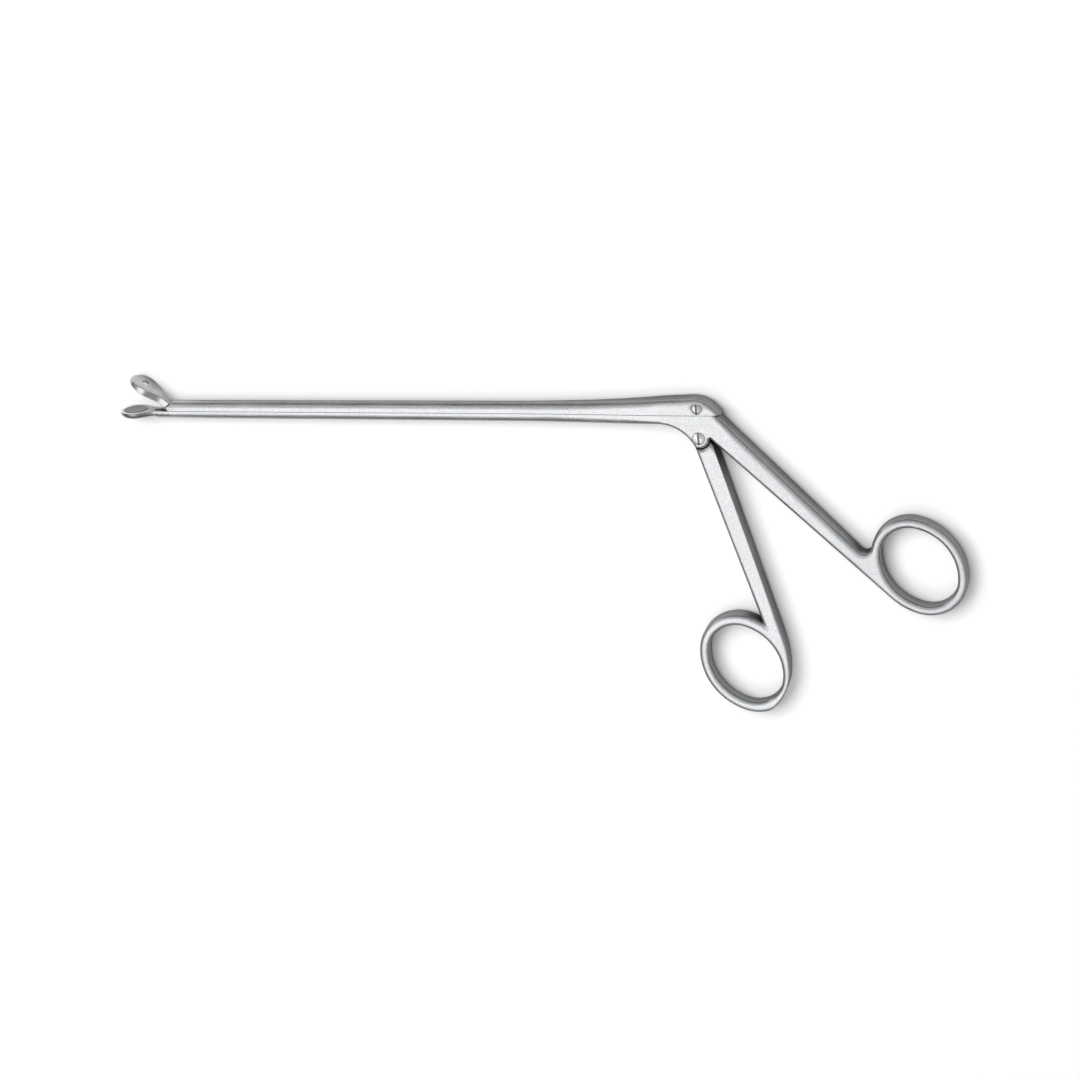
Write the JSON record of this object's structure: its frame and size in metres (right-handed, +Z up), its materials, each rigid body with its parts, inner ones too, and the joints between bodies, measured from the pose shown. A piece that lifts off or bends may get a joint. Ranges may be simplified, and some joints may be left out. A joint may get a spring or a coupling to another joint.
{
  "type": "laminectomy rongeur",
  "caption": "Surgical bone punch with a sliding upper bar, a hinged cup jaw and scissor-like ring handles, lying on its side.",
  "frame": {"origin": "on the axis of the pivot screw, in the side face of the body that lies down", "axes": "+X from the jaws to the handles along the shaft, +Y from the shaft's lower bar to its slide, +Z up, through the instrument's thickness"},
  "size_m": [0.2743, 0.112, 0.0098],
  "materials": {
    "satin_steel": "fine satin, bead-blasted then brushed",
    "screw_steel": "turned, slightly brighter"
  },
  "bodies": {
    "fixed": {"fixed_half": "satin_steel", "pivot_screw": "screw_steel", "jaw_pivot_pin": "screw_steel"},
    "slide": {"slide_bar": "satin_steel", "link_screw": "screw_steel", "jaw_drive_pin": "screw_steel"},
    "handle": {"front_handle": "satin_steel"},
    "jaw": {"upper_jaw": "satin_steel"}
  },
  "joints": [
    {"name": "handle_squeeze", "type": "hinge", "parent": "fixed", "child": "handle", "pos_m": [0, 0, 0.0035], "axis": [0, 0, 1], "range_deg": [0, 9.65]},
    {"name": "slide_travel", "type": "slide", "parent": "fixed", "child": "slide", "axis": [-1, 0, 0], "range_m": [0, 0.00164]},
    {"name": "jaw_closing", "type": "hinge", "parent": "fixed", "child": "jaw", "pos_m": [-0.175, 0.00625, 0.0035], "axis": [0, 0, 1], "range_deg": [0, 40]}
  ],
  "couplings": [
    {"joint": "slide_travel", "follows": "handle_squeeze", "m_per_rad": 0.0097201},
    {"joint": "jaw_closing", "follows": "handle_squeeze", "ratio": 4.1431}
  ]
}
